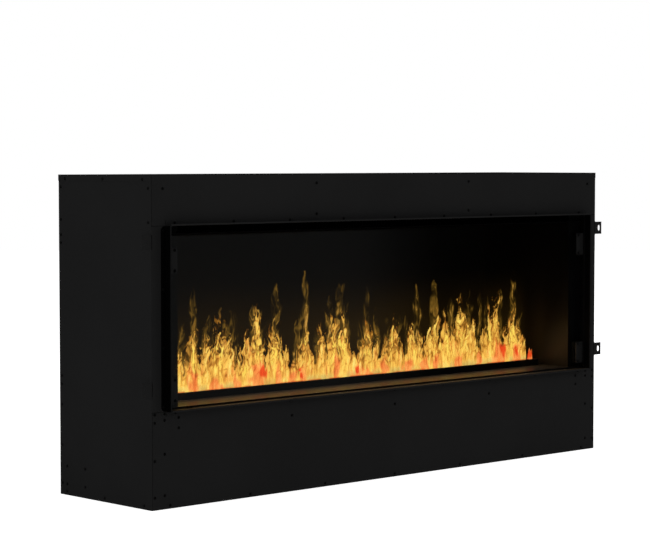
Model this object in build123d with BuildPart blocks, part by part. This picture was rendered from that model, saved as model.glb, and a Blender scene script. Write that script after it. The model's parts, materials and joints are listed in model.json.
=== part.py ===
from build123d import *
import math
import os

# Built-in linear water-vapour fireplace: a sheet-metal firebox with a glazed front, a mist cassette
# under the hearth, a lift-out water tank and a fan heater above the fire chamber.
# Millimetres. Origin: centre of the bounding box in X and Y, on the surface it stands on.
# +X to the right, +Y to the back, +Z up.

# ---- driving dimensions -----------------------------------------------------------------------
WIDTH = 1600.0            # over the side panels
HEIGHT = 783.0
DEPTH = 360.0             # front plane to rear edge
COLLAR_REACH = 21.0       # how far the collar stands out of the front plane
SHEET = 1.2               # steel sheet thickness
HEM = 4.2                 # width of the collar's folded front edge
SEAM = 0.1                # gap between plates that are joined edge to edge
PANEL_GAP = 0.9           # visible gap round the front panels

OPEN_HALF = 755.0         # half the width of the opening inside the collar
OPEN_BOTTOM = 233.0
OPEN_TOP = 665.0
APRON_TOP = 229.0         # top edge of the apron beside the opening
HEARTH_TOP = 237.0
CEILING = 645.0           # underside of the fire chamber's ceiling
LINER_HALF = 707.0        # half the width of the fire chamber
JAMB_SETBACK = 18.0       # jamb face behind the front plane
LINER_DEPTH = 335.0       # chamber's back wall behind the front plane

GLASS_THICK = 5.0
GLASS_HALF = 750.0
GLASS_BOTTOM = 236.5
GLASS_TOP = 641.0
GLASS_SETBACK = 2.0       # glass front face behind the front plane

TAB_REACH = 28.5          # fixing tabs beside the casing
TAB_HEIGHT = 34.5
TAB_CENTRES = (283.5, 627.0)
TAB_SLOT_FROM_EDGE = 11.0
TAB_SLOT = (9.0, 16.0)    # width, length
TAB_SLIT = 1.8            # slit between a tab and the front strip
FLANGE = 18.0             # bent flanges that join the panels

SCREW_HEAD = 3.4          # head radius of the casing screws
SCREW_HEIGHT = 1.6
SCREW_SHANK = 1.5
SCREW_LENGTH = 6.0

SLOT_Y = 120.0            # centre line of the mist slot behind the front plane
COVER_HALF = 685.0
COVER_FRONT = 109.0       # slot cover's front face behind the front plane
COVER_DEPTH = 31.0
COVER_TOP = 254.5

WHEEL_RADIUS = 35.0
WHEEL_HALF = 260.0
WHEEL_AT = (170.0, 706.0)  # blower axis: behind the front plane, height
SHAFT_RADIUS = 4.0
RUNNING_GAP = 0.05

FAN_X = 450.0
FAN_Z = 200.0
FAN_SIZE = 60.0

TANK_X = (-640.0, -340.0)
TANK_Y = (201.0, 309.0)   # behind the front plane
TANK_Z = (98.0, 222.0)
TANK_WALL = 2.5
CAP_AT = (-490.0, 229.0)

PANEL_X = (480.0, 640.0)  # control panel on the hearth floor
PANEL_Y = (215.0, 285.0)
PANEL_TOP = 245.0
BUTTON_X = (555.0, 585.0, 615.0)
BUTTON_RADIUS = 6.0
BUTTON_GAP = 0.4
ROCKER_X = 510.0
ROCKER_SIZE = (28.0, 12.0, 7.0)
ROCKER_TILT = 8.0

HALF = WIDTH / 2
COLLAR_FLANGE = HALF - 29   # outer edge of the collar's screwed flange
FRONT = COLLAR_REACH - (DEPTH + COLLAR_REACH) / 2
BACK = FRONT + DEPTH
BACK_SETBACK = 5.0        # back panel inside the side panels' rear edges
GLASS_FRONT = FRONT + GLASS_SETBACK
GLASS_BACK = GLASS_FRONT + GLASS_THICK
CLIP_X = (721.0, 750.0)
CLIP_HEIGHT = 60.0
CLIP_CENTRES = (277.5, 583.0)
CLIP_SCREW_X = 729.0
CLIP_SCREW_PITCH = 49.0

pieces = {}


# ---- helpers ----------------------------------------------------------------------------------
def block(xs, ys, zs, mode=Mode.ADD):
    """A box between two limits along each axis, in the part being built."""
    centre = [(min(pair) + max(pair)) / 2 for pair in (xs, ys, zs)]
    size = [abs(pair[1] - pair[0]) for pair in (xs, ys, zs)]
    with Locations(tuple(centre)):
        Box(*size, mode=mode)


def rod(axis, centre, radius, start, end, mode=Mode.ADD):
    """A cylinder along X, Y or Z. centre holds the other two coordinates in X, Y, Z order."""
    middle, length = (start + end) / 2, abs(end - start)
    places = {"X": (middle, *centre), "Y": (centre[0], middle, centre[1]), "Z": (*centre, middle)}
    turns = {"X": (0, 90, 0), "Y": (90, 0, 0), "Z": (0, 0, 0)}
    with Locations(places[axis]):
        Cylinder(radius, length, rotation=turns[axis], mode=mode)


def open_box(xs, ys, zs, wall):
    """Floor and four walls of a box that is open at the top, parted by seams."""
    block(xs, ys, (zs[0], zs[0] + wall))
    upright = (zs[0] + wall + SEAM, zs[1])
    for x, inward in zip(xs, (1, -1)):
        block((x, x + inward * wall), ys, upright)
    for y, inward in zip(ys, (1, -1)):
        block((xs[0] + wall + SEAM, xs[1] - wall - SEAM), (y, y + inward * wall), upright)


def behind(distance):
    """Y of a point at this distance behind the front plane."""
    return FRONT + distance


def from_top(share):
    """Height of a point this share of the casing's height below its top."""
    return HEIGHT * (1 - share)


def both_sides(points):
    """The points and their mirror images in the casing's middle plane."""
    return points + [(-x, z) for x, z in points if x]


# ---- screw positions --------------------------------------------------------------------------
ROW = [(WIDTH * 0.114 * step, height) for step in range(1, 5) for height in (0.1425, 0.7115)]
HEADER_POINTS = both_sides(
    [(HALF - 35, from_top(0.040)), (276, from_top(0.0273)), (276, from_top(0.125))]
    + [(x, from_top(share)) for x, share in ROW if share < 0.5]
    + [(0, from_top(0.1425))]
)
APRON_POINTS = both_sides(
    [(HALF - 8.5, from_top(share)) for share in (0.7134, 0.738, 0.852, 0.962)]
    + [(HALF - 38, from_top(share)) for share in (0.7131, 0.732, 0.834, 0.9587)]
    + [(HALF - 81, from_top(0.728))]
    + [(x, from_top(0.759)) for x in (HALF - 81, WIDTH * 0.2245, 0)]
    + [(x, from_top(share)) for x, share in ROW if share > 0.5]
    + [(0, from_top(0.7115))]
    + [(WIDTH * share, from_top(0.990)) for share in (0.466, 0.310, 0.154, 0)]
)
COLLAR_POINTS = both_sides([(HALF - 34.3, from_top(share)) for share in (0.165, 0.340, 0.515, 0.691)])
SIDE_POINTS = (
    [(share * DEPTH, from_top(height)) for share in (0.084, 0.506, 0.923) for height in (0.0128, 0.988)]
    + [(0.976 * DEPTH, from_top(height)) for height in
       (0.038, 0.1395, 0.187, 0.212, 0.627, 0.653, 0.717, 0.844, 0.964)]
    + [(0.0285 * DEPTH, from_top(height)) for height in (0.039, 0.141)]
)
TERMINAL_POINTS = [(share * DEPTH, from_top(height)) for share in (0.718, 0.921) for height in (0.909, 0.965)]


def side_points(side):
    """Screws in one side panel; the left one also holds the terminal box."""
    return SIDE_POINTS + (TERMINAL_POINTS if side < 0 else [])


def front_holes(points):
    """Screw holes through a front sheet, along Y."""
    for x, z in points:
        rod("Y", (x, z), SCREW_SHANK, FRONT - 3, behind(5), mode=Mode.SUBTRACT)


def side_holes(side, points):
    """Screw holes through a side sheet, along X."""
    for y, z in points:
        rod("X", (behind(y), z), SCREW_SHANK, side * (HALF - 5), side * (HALF + 5), mode=Mode.SUBTRACT)


# ---- casing -----------------------------------------------------------------------------------
def side_panel(side):
    """Side sheet with the front strip beside the opening and two slotted fixing tabs."""
    inner, outer = side * (HALF - SHEET), side * HALF
    front_sheet = (FRONT, FRONT + SHEET)
    with BuildPart() as panel:
        block((inner, outer), (FRONT, BACK), (0, HEIGHT - SHEET))
        block((side * (OPEN_HALF + 0.5), outer), front_sheet, (APRON_TOP + PANEL_GAP, OPEN_TOP - PANEL_GAP))
        for height in TAB_CENTRES:
            zone = (height - TAB_HEIGHT / 2, height + TAB_HEIGHT / 2)
            block((outer, outer + side * TAB_REACH), front_sheet, zone)
            block((inner - side * TAB_SLIT, inner), front_sheet, zone, mode=Mode.SUBTRACT)
        corner = panel.edges().filter_by(Axis.Y).filter_by(lambda e: abs(abs(e.center().X) - HALF) < 0.01)
        base = [e for e in corner if e.length < 2 and min(abs(e.center().Z - z - s * TAB_HEIGHT / 2)
                for z in TAB_CENTRES for s in (-1, 1)) < 0.01]
        fillet(base, 3)
        for height in TAB_CENTRES:
            centre = side * (HALF + TAB_REACH - TAB_SLOT_FROM_EDGE)
            with BuildSketch(Plane.XZ.offset(-FRONT)) as slot:
                with Locations((centre, height)):
                    SlotOverall(TAB_SLOT[1], TAB_SLOT[0], rotation=90)
            extrude(amount=-SHEET, mode=Mode.SUBTRACT)
        side_holes(side, side_points(side))
        front_holes([p for p in COLLAR_POINTS if p[0] * side > 0])
    return panel


pieces["side_panel_left"] = side_panel(-1)
pieces["side_panel_right"] = side_panel(1)

with BuildPart() as top_cover:
    flange = (HEIGHT - 15, HEIGHT - SHEET - SEAM)
    block((-HALF - SHEET, HALF + SHEET), (FRONT, BACK), (HEIGHT - SHEET, HEIGHT))
    for side in (-1, 1):
        block((side * HALF, side * (HALF + SHEET)), (FRONT, BACK), flange)
        side_holes(side, [p for p in SIDE_POINTS if p[1] > HEIGHT - 15])
    block((-HALF + 2, HALF - 2), (BACK - SHEET, BACK), flange)
pieces["top_cover"] = top_cover

with BuildPart() as base_pan:
    flange = (SHEET + SEAM, 15)
    block((-HALF + SHEET, HALF - SHEET), (FRONT + SHEET, BACK - BACK_SETBACK), (0, SHEET))
    for side in (-1, 1):
        wall = (side * (HALF - 2 * SHEET), side * (HALF - SHEET))
        block(wall, (behind(25), BACK - 30), flange)
        side_holes(side, [p for p in SIDE_POINTS if p[1] < 15])
    block((-HALF + 30, HALF - 30), (FRONT + SHEET, FRONT + 2 * SHEET), flange)
    front_holes([p for p in APRON_POINTS if p[1] < 15])
pieces["base_pan"] = base_pan

GLAND_AT = (-700.0, 50.0)
GLAND_RADIUS = 9.0
with BuildPart() as back_panel:
    face = BACK - BACK_SETBACK
    block((-HALF + SHEET, HALF - SHEET), (face - SHEET, face), (SHEET, HEIGHT - SHEET))
    for side in (-1, 1):
        wall = (side * (HALF - 2 * SHEET), side * (HALF - SHEET))
        block(wall, (face - 20, face - SHEET - SEAM), (SHEET, HEIGHT - SHEET))
        side_holes(side, [p for p in SIDE_POINTS if p[0] > 0.95 * DEPTH])
    rod("Y", GLAND_AT, GLAND_RADIUS, face - 5, face + 5, mode=Mode.SUBTRACT)
    for pressing in (-1, 0, 1):
        block((pressing * 500 - 200, pressing * 500 + 200), (face, face + 2.5), (170, 620))
    stiffeners = back_panel.faces().filter_by(Axis.Y).sort_by(Axis.Y)[-3:]
    chamfer(stiffeners.edges(), 2)
pieces["back_panel"] = back_panel


def front_panel(bottom, top, lip_profile, lip_half, points, relief_zone):
    """Front sheet between the side panels, its edge folded forward between two relief slots."""
    sheet = (FRONT, FRONT + SHEET)
    half = HALF - SHEET - PANEL_GAP
    inner = lip_profile[1][1]
    direction = math.copysign(1, (bottom + top) / 2 - inner)
    root = (inner + direction * SHEET, inner + direction * (SHEET + SEAM))
    with BuildPart() as panel:
        block((-half, half), sheet, (bottom, top))
        corners = panel.edges().filter_by(Axis.Y).filter_by(lambda e: 10 < e.center().Z < HEIGHT - 10)
        fillet(corners, 4)
        for side in (-1, 1):
            wall = (side * (HALF - 2 * SHEET), side * (HALF - SHEET))
            block(wall, (FRONT + SHEET + SEAM, behind(FLANGE + 2)), (bottom + 2, top - 2))
        with BuildSketch(Plane.YZ.offset(-lip_half)) as section:
            with BuildLine():
                Polyline(*lip_profile, close=True)
            make_face()
            bends = [v for v in section.vertices() if abs(v.Y - inner) < 0.01]
            fillet(bends, 1.1)
        extrude(amount=2 * lip_half)
        block((-lip_half, lip_half), (FRONT - 0.5, FRONT + 2 * SHEET), root, mode=Mode.SUBTRACT)
        for side in (-1, 1):
            slot = (side * lip_half, side * (lip_half + 1.5))
            block(slot, sheet, relief_zone, mode=Mode.SUBTRACT)
            side_holes(side, [p for p in SIDE_POINTS if p[0] < FLANGE])
        front_holes(points)
    return panel


def lip_section(inner, direction):
    """Y-Z outline of a sheet folded forward and hemmed: inner is the opening's face."""
    away = inner + direction * 20
    tip = FRONT - COLLAR_REACH
    return [
        (FRONT + SHEET, away),
        (FRONT + SHEET, inner),
        (tip, inner),
        (tip, inner + direction * HEM),
        (tip + SHEET, inner + direction * HEM),
        (tip + SHEET, inner + direction * SHEET),
        (FRONT, inner + direction * SHEET),
        (FRONT, away),
    ]


pieces["header_panel"] = front_panel(
    OPEN_TOP, HEIGHT - SHEET, lip_section(OPEN_TOP, 1), OPEN_HALF + SHEET, HEADER_POINTS,
    (OPEN_TOP - 1, OPEN_TOP + 13))
pieces["apron_panel"] = front_panel(
    0, APRON_TOP, lip_section(OPEN_BOTTOM, -1), OPEN_HALF, APRON_POINTS,
    (APRON_TOP - 10, APRON_TOP + 5))


def collar(side):
    """Side wall of the collar, hemmed in front, with a screwed flange on the front strip."""
    tip = FRONT - COLLAR_REACH
    outline = [
        (OPEN_HALF, FRONT),
        (OPEN_HALF, tip),
        (OPEN_HALF + HEM, tip),
        (OPEN_HALF + HEM, tip + SHEET),
        (OPEN_HALF + SHEET, tip + SHEET),
        (OPEN_HALF + SHEET, FRONT - SHEET),
        (COLLAR_FLANGE, FRONT - SHEET),
        (COLLAR_FLANGE, FRONT),
    ]
    bottom, top = APRON_TOP, OPEN_TOP
    bend = OPEN_HALF + SHEET
    with BuildPart() as piece:
        with BuildSketch(Plane.XY.offset(bottom)) as plan:
            with BuildLine():
                Polyline(*[(side * x, y) for x, y in outline], close=True)
            make_face()
            fillet([v for v in plan.vertices() if abs(v.X) < OPEN_HALF + 0.1], 1.1)
            inside = [v for v in plan.vertices() if abs(v.Y - FRONT + SHEET) < 0.01 and abs(v.X) < bend + 0.01]
            fillet(inside, 1.2)
        extrude(amount=top - bottom)
        clear = (side * bend, side * HALF)
        flange_sheet = (FRONT - SHEET, FRONT)
        block(clear, flange_sheet, (bottom, bottom + 2), mode=Mode.SUBTRACT)
        block(clear, flange_sheet, (OPEN_TOP - 2, top), mode=Mode.SUBTRACT)
        tips = piece.edges().filter_by(Axis.Y).filter_by(lambda e: abs(e.center().X) > COLLAR_FLANGE - 1)
        chamfer(tips, 6)
        front_holes([p for p in COLLAR_POINTS if p[0] * side > 0])
    return piece


pieces["collar_left"] = collar(-1)
pieces["collar_right"] = collar(1)

with BuildPart() as corner_brackets:
    for side in (-1, 1):
        for zone in ((20, 215), (685, 775)):
            outer = side * (HALF - 2 * SHEET)
            block((side * (HALF - 55), outer), (FRONT + SHEET, FRONT + 2 * SHEET), zone)
            block((outer - side * SHEET, outer), (FRONT + SHEET, behind(28)), zone)
    inner_holes = [p for p in HEADER_POINTS + APRON_POINTS if abs(p[0]) > HALF - 55 and p[1] > 15]
    front_holes(inner_holes)
    for side in (-1, 1):
        side_holes(side, [p for p in SIDE_POINTS if p[0] < 28 and p[1] > 600])
pieces["corner_brackets"] = corner_brackets

with BuildPart() as front_screws:
    for x, z in HEADER_POINTS + APRON_POINTS:
        rod("Y", (x, z), SCREW_HEAD, FRONT - SCREW_HEIGHT, FRONT)
    fillet(front_screws.faces().sort_by(Axis.Y)[: len(HEADER_POINTS + APRON_POINTS)].edges(), 1.4)
    for x, z in HEADER_POINTS + APRON_POINTS:
        rod("Y", (x, z), SCREW_SHANK, FRONT - 0.5, FRONT + SCREW_LENGTH)
pieces["front_screws"] = front_screws

with BuildPart() as collar_screws:
    for x, z in COLLAR_POINTS:
        rod("Y", (x, z), SCREW_HEAD, FRONT - SHEET - SCREW_HEIGHT, FRONT - SHEET)
    fillet(collar_screws.faces().sort_by(Axis.Y)[: len(COLLAR_POINTS)].edges(), 1.4)
    for x, z in COLLAR_POINTS:
        rod("Y", (x, z), SCREW_SHANK, FRONT - SHEET - 0.5, FRONT + SCREW_LENGTH)
pieces["collar_screws"] = collar_screws

with BuildPart() as side_screws:
    for side in (-1, 1):
        for y, z in side_points(side):
            seat = HALF + (SHEET if z > HEIGHT - 15 else 0)
            rod("X", (behind(y), z), SCREW_HEAD, side * seat, side * (seat + SCREW_HEIGHT))
    heads = side_screws.faces().filter_by(lambda f: abs(f.center().X) > HALF + 1.55).filter_by(Axis.X)
    fillet(heads.edges(), 1.4)
    for side in (-1, 1):
        for y, z in side_points(side):
            rod("X", (behind(y), z), SCREW_SHANK, side * (HALF + 0.5), side * (HALF - SCREW_LENGTH))
pieces["side_screws"] = side_screws


# ---- fire chamber -----------------------------------------------------------------------------
def jamb(side):
    """Dark reveal and facing strip between the collar and the chamber wall."""
    face = behind(JAMB_SETBACK)
    reveal = side * (OPEN_HALF + 0.1)
    with BuildPart() as piece:
        block((reveal, reveal + side * SHEET), (FRONT + SHEET, face), (HEARTH_TOP, OPEN_TOP))
        block((side * LINER_HALF, reveal + side * SHEET), (face, face + SHEET), (HEARTH_TOP, OPEN_TOP))
        for height in CLIP_CENTRES:
            for half in (-0.5, 0.5):
                at = (side * CLIP_SCREW_X, height + half * CLIP_SCREW_PITCH)
                rod("Y", at, 3.0, face - 1, face + 3, mode=Mode.SUBTRACT)
    return piece


def liner_side(side):
    """Chamber side wall with a stiffening flange along its rear edge."""
    inner = side * LINER_HALF
    front, rear = behind(JAMB_SETBACK) + SHEET, behind(LINER_DEPTH)
    with BuildPart() as piece:
        block((inner, inner + side * SHEET), (front, rear), (HEARTH_TOP, CEILING))
        block((inner, inner + side * 16), (rear - SHEET, rear), (HEARTH_TOP, CEILING))
    return piece


pieces["jamb_left"] = jamb(-1)
pieces["jamb_right"] = jamb(1)
pieces["liner_left"] = liner_side(-1)
pieces["liner_right"] = liner_side(1)

with BuildPart() as liner_back:
    rear = behind(LINER_DEPTH)
    block((-LINER_HALF - 16, LINER_HALF + 16), (rear, rear + SHEET), (HEARTH_TOP, CEILING))
pieces["liner_back"] = liner_back

VENT_HALF = 240.0
with BuildPart() as liner_ceiling:
    zone = (CEILING, CEILING + SHEET)
    block((-LINER_HALF - 16, LINER_HALF + 16), (behind(JAMB_SETBACK) + SHEET, behind(LINER_DEPTH)), zone)
    block((-LINER_HALF, LINER_HALF), (behind(8), behind(JAMB_SETBACK) + SHEET), zone)
    block((-OPEN_HALF, OPEN_HALF), (behind(8), behind(JAMB_SETBACK)), zone)
    with Locations((0, behind(225), CEILING)):
        with GridLocations(24, 0, int(2 * VENT_HALF / 24) + 1, 1):
            Box(8, 30, 4, mode=Mode.SUBTRACT)
pieces["liner_ceiling"] = liner_ceiling

DUCT_HALF = 676.0
with BuildPart() as hearth_floor:
    zone = (HEARTH_TOP - SHEET, HEARTH_TOP)
    block((-LINER_HALF - 16, LINER_HALF + 16), (behind(JAMB_SETBACK), behind(LINER_DEPTH) + SHEET), zone)
    block((-OPEN_HALF, OPEN_HALF), (behind(8), behind(JAMB_SETBACK) + 2), zone)
    block((-OPEN_HALF, OPEN_HALF), (behind(8), behind(8) + SHEET), (OPEN_BOTTOM - SHEET, HEARTH_TOP))
    block((-OPEN_HALF, OPEN_HALF), (FRONT + SHEET, behind(9)), (OPEN_BOTTOM - SHEET, OPEN_BOTTOM))
    cut = (HEARTH_TOP - 5, HEARTH_TOP + 5)
    block((-DUCT_HALF - 4, DUCT_HALF + 4), (behind(111), behind(137.5)), cut, mode=Mode.SUBTRACT)
    block((TANK_X[0] - 7, TANK_X[1] + 7), (behind(TANK_Y[0] - 6), behind(TANK_Y[1] + 6)), cut, mode=Mode.SUBTRACT)
    block((PANEL_X[0] + 6, PANEL_X[1] - 6), (behind(PANEL_Y[0] + 6), behind(PANEL_Y[1] - 6)), cut,
          mode=Mode.SUBTRACT)
    for line in (JAMB_SETBACK + 2, 111 - SEAM, 137.5, TANK_Y[0] - 6 - SEAM, TANK_Y[1] + 6):
        block((-HALF, HALF), (behind(line), behind(line) + SEAM), cut, mode=Mode.SUBTRACT)
    for line in (PANEL_X[0] + 6 - SEAM, PANEL_X[1] - 6):
        block((line, line + SEAM), (behind(TANK_Y[0] - 6), behind(TANK_Y[1] + 6)), cut, mode=Mode.SUBTRACT)
pieces["hearth_floor"] = hearth_floor

with BuildPart() as hearth_supports:
    for side in (-1, 1):
        web = side * 716
        depth = (behind(22), behind(330))
        block((web, web + side * SHEET), depth, (SHEET, HEARTH_TOP - SHEET))
        block((web, web + side * 20), depth, (SHEET, 2 * SHEET))
pieces["hearth_supports"] = hearth_supports


# ---- glazing ----------------------------------------------------------------------------------
CLIP_SCREWS = [
    (side * CLIP_SCREW_X, height + half * CLIP_SCREW_PITCH)
    for side in (-1, 1) for height in CLIP_CENTRES for half in (-0.5, 0.5)
]
CLIP_THICK = 1.5
PAD_END = behind(JAMB_SETBACK) - 0.3

with BuildPart() as glass_panel:
    block((-GLASS_HALF, GLASS_HALF), (GLASS_FRONT, GLASS_BACK), (GLASS_BOTTOM, GLASS_TOP))
    for at in CLIP_SCREWS:
        rod("Y", at, 2.5, GLASS_FRONT - 1, GLASS_BACK + 1, mode=Mode.SUBTRACT)
    chamfer(glass_panel.edges().filter_by(Axis.X), 0.8)
pieces["glass_panel"] = glass_panel

with BuildPart() as glass_clips:
    for side in (-1, 1):
        for height in CLIP_CENTRES:
            zone = (height - CLIP_HEIGHT / 2, height + CLIP_HEIGHT / 2)
            block((side * CLIP_X[0], side * CLIP_X[1]), (GLASS_FRONT - CLIP_THICK, GLASS_FRONT), zone)
    chamfer(glass_clips.edges().filter_by(Axis.Y), 1.2)
    for at in CLIP_SCREWS:
        rod("Y", at, 2.0, GLASS_FRONT - 5, GLASS_FRONT + 1, mode=Mode.SUBTRACT)
pieces["glass_clips"] = glass_clips

with BuildPart() as glass_pads:
    for side in (-1, 1):
        for height in CLIP_CENTRES:
            zone = (height - CLIP_HEIGHT / 2, height + CLIP_HEIGHT / 2)
            block((side * CLIP_X[0], side * (GLASS_HALF - 4)), (GLASS_BACK, PAD_END), zone)
        block((side * 676, side * 690), (GLASS_FRONT, GLASS_BACK), (OPEN_BOTTOM + 0.3, GLASS_BOTTOM))
    for at in CLIP_SCREWS:
        rod("Y", at, 2.0, GLASS_BACK - 1, PAD_END + 1, mode=Mode.SUBTRACT)
pieces["glass_pads"] = glass_pads

with BuildPart() as clip_screws:
    head = GLASS_FRONT - CLIP_THICK
    for at in CLIP_SCREWS:
        rod("Y", at, 3.8, head - 2, head)
    fillet(clip_screws.faces().sort_by(Axis.Y)[: len(CLIP_SCREWS)].edges(), 1.6)
    for at in CLIP_SCREWS:
        rod("Y", at, 1.2, head - 3, head - 1, mode=Mode.SUBTRACT)
        rod("Y", at, 2.0, head - 0.5, behind(JAMB_SETBACK) + 6)
pieces["clip_screws"] = clip_screws


# ---- mist cassette ----------------------------------------------------------------------------
TRAY_HALF = 690.0
TRAY_Y = (85.0, 165.0)
TRAY_BOTTOM = 120.0
DECK = (160.0, 162.0)
SUMP_WALL = 2.0
TRANSDUCER_X = [100 * step for step in (-5, -3, -1, 1, 3, 5)]
FLOAT_X = 620.0

with BuildPart() as cassette_tray:
    rim = HEARTH_TOP - SHEET
    open_box((-TRAY_HALF, TRAY_HALF), (behind(TRAY_Y[0]), behind(TRAY_Y[1])), (TRAY_BOTTOM, rim), SHEET)
    for side in (-1, 1):
        rod("Y", (side * FAN_X, FAN_Z), FAN_SIZE / 2 - 3, behind(160), behind(170), mode=Mode.SUBTRACT)
pieces["cassette_tray"] = cassette_tray

with BuildPart() as sump:
    open_box((-660, 660), (behind(93), behind(157)), (TRAY_BOTTOM + SHEET, DECK[0]), SUMP_WALL)
    rod("Z", (FLOAT_X, behind(SLOT_Y)), 5, TRAY_BOTTOM + 2, 126)
    rod("Z", (FLOAT_X, behind(SLOT_Y)), 3, TRAY_BOTTOM + 2, 156)
pieces["sump"] = sump

with BuildPart() as float_ring:
    rod("Z", (FLOAT_X, behind(SLOT_Y)), 12, 126.1, 138)
    fillet(float_ring.edges(), 2)
    rod("Z", (FLOAT_X, behind(SLOT_Y)), 3.3, 120, 145, mode=Mode.SUBTRACT)
pieces["float_ring"] = float_ring

with BuildPart() as transducers:
    floor = TRAY_BOTTOM + SHEET + SUMP_WALL
    for x in TRANSDUCER_X:
        rod("Z", (x, behind(SLOT_Y)), 14, floor, floor + 4)
        rod("Z", (x, behind(SLOT_Y)), 11, floor + 4, floor + 7)
        rod("Z", (x, behind(SLOT_Y)), 8, floor + 6, floor + 8, mode=Mode.SUBTRACT)
pieces["transducers"] = transducers

with BuildPart() as cassette_deck:
    block((-TRAY_HALF + 2, TRAY_HALF - 2), (behind(TRAY_Y[0] + 2), behind(TRAY_Y[1] - 2)), DECK)
    with Locations((0, behind(SLOT_Y), DECK[0])):
        with GridLocations(50, 0, 25, 1):
            Cylinder(5.5, 6, mode=Mode.SUBTRACT)
pieces["cassette_deck"] = cassette_deck

with BuildPart() as mist_duct:
    outer_y = (behind(SLOT_Y - 8), behind(SLOT_Y + 8))
    inner_y = (behind(SLOT_Y - 6.5), behind(SLOT_Y + 6.5))
    inlet_top = DECK[1] + 14
    for wall in zip(outer_y, inner_y):
        block((-DUCT_HALF, DUCT_HALF), wall, (inlet_top, 250))
        for side in (-1, 1):
            block((side * DUCT_HALF, side * (DUCT_HALF - 10)), wall, (DECK[1], inlet_top - SEAM))
    for side in (-1, 1):
        block((side * DUCT_HALF, side * (DUCT_HALF - 1.5)), (inner_y[0] + SEAM, inner_y[1] - SEAM),
              (DECK[1], 250))
pieces["mist_duct"] = mist_duct

LED_Y = 133.0
LED_PITCH = 48.0
LED_COUNT = 27
with BuildPart() as led_bar:
    block((-DUCT_HALF, DUCT_HALF), (behind(SLOT_Y + 8), behind(137.3)), (236, 240))
    with Locations((0, behind(LED_Y), 240.5)):
        with GridLocations(LED_PITCH, 0, LED_COUNT, 1):
            Box(5, 5, 1)
pieces["led_bar"] = led_bar

with BuildPart() as led_lenses:
    with Locations((0, behind(LED_Y), 243.5)):
        with GridLocations(LED_PITCH, 0, LED_COUNT, 1):
            Cylinder(3.5, 5)
    fillet(led_lenses.faces().sort_by(Axis.Z)[-LED_COUNT:].edges(), 2.5)
pieces["led_lenses"] = led_lenses

with BuildPart() as slot_cover:
    depth = (behind(COVER_FRONT), behind(COVER_FRONT + COVER_DEPTH))
    block((-COVER_HALF, COVER_HALF), depth, (HEARTH_TOP + 0.05, COVER_TOP))
    fillet(slot_cover.edges().filter_by(Axis.X).group_by(Axis.Z)[-1], 1.5)
    block((-COVER_HALF + 1.5, COVER_HALF - 1.5), (depth[0] + 1.5, depth[1] - 1.5),
          (HEARTH_TOP - 1, COVER_TOP - 1.5), mode=Mode.SUBTRACT)
    block((-672, 672), (behind(SLOT_Y - 6.5), behind(SLOT_Y + 6.5)), (250, 260), mode=Mode.SUBTRACT)
    with Locations((0, behind(LED_Y), 254)):
        with GridLocations(LED_PITCH, 0, LED_COUNT, 1):
            Box(40, 6, 6, mode=Mode.SUBTRACT)
    for side in (-1, 1):
        block((side * (672 - SEAM), side * 672), depth, (HEARTH_TOP, COVER_TOP + 1), mode=Mode.SUBTRACT)
pieces["slot_cover"] = slot_cover


def fan_frame(side):
    """Square frame with a bore, four struts and a central post for the rotor."""
    at = (side * FAN_X, FAN_Z)
    half = FAN_SIZE / 2
    near, far = behind(TRAY_Y[1]), behind(TRAY_Y[1] + 20)
    with BuildPart() as frame:
        block((at[0] - half, at[0] + half), (near, far), (FAN_Z - half, FAN_Z + half))
        fillet(frame.edges().filter_by(Axis.Y), 4)
        rod("Y", at, half - 2, near - 1, far + 1, mode=Mode.SUBTRACT)
        block((at[0] - half + 1, at[0] + half - 1), (far - 3, far), (FAN_Z - 2, FAN_Z + 2))
        block((at[0] - 2, at[0] + 2), (far - 3, far), (FAN_Z - half + 1, FAN_Z + half - 1))
        rod("Y", at, 12, far - 3, far)
        rod("Y", at, 1.5, near + 3, far)
        for dx in (-1, 1):
            for dz in (-1, 1):
                hole = (at[0] + dx * (half - 4.5), FAN_Z + dz * (half - 4.5))
                rod("Y", hole, 1.6, near - 1, far + 1, mode=Mode.SUBTRACT)
    return frame


def fan_rotor(side):
    """Hub with seven pitched blades on the frame's post."""
    at = (side * FAN_X, FAN_Z)
    near, far = behind(TRAY_Y[1] + 2), behind(TRAY_Y[1] + 16)
    blade = Plane(origin=(at[0], (near + far) / 2, at[1]), x_dir=(1, 0, 0), z_dir=(0, -1, 0))
    with BuildPart() as rotor:
        rod("Y", at, 12, near, far)
        with Locations(blade):
            with PolarLocations(0, 7):
                with Locations(Location((18.3, 0, 0), (38, 0, 0))):
                    Box(15.5, 13, 1.4)
        rod("Y", at, 1.5 + RUNNING_GAP, near - 1, far + 1, mode=Mode.SUBTRACT)
    return rotor


for side, word in ((-1, "left"), (1, "right")):
    pieces[f"fan_frame_{word}"] = fan_frame(side)
    pieces[f"fan_rotor_{word}"] = fan_rotor(side)


# ---- water tank -------------------------------------------------------------------------------
with BuildPart() as tank_well:
    xs = (TANK_X[0] - 10, TANK_X[1] + 10)
    ys = (behind(TANK_Y[0] - 9), behind(TANK_Y[1] + 9))
    open_box(xs, ys, (90, HEARTH_TOP - SHEET), SHEET)
    for x in (TANK_X[0] + 30, TANK_X[1] - 30):
        block((x - 8, x + 8), (ys[0] + 20, ys[1] - 20), (90 + SHEET + SEAM, TANK_Z[0] - 0.1))
        block((x - 8, x + 8), (ys[0] + 20, ys[1] - 20), (SHEET, 90 - SEAM))
pieces["tank_well"] = tank_well

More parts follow.
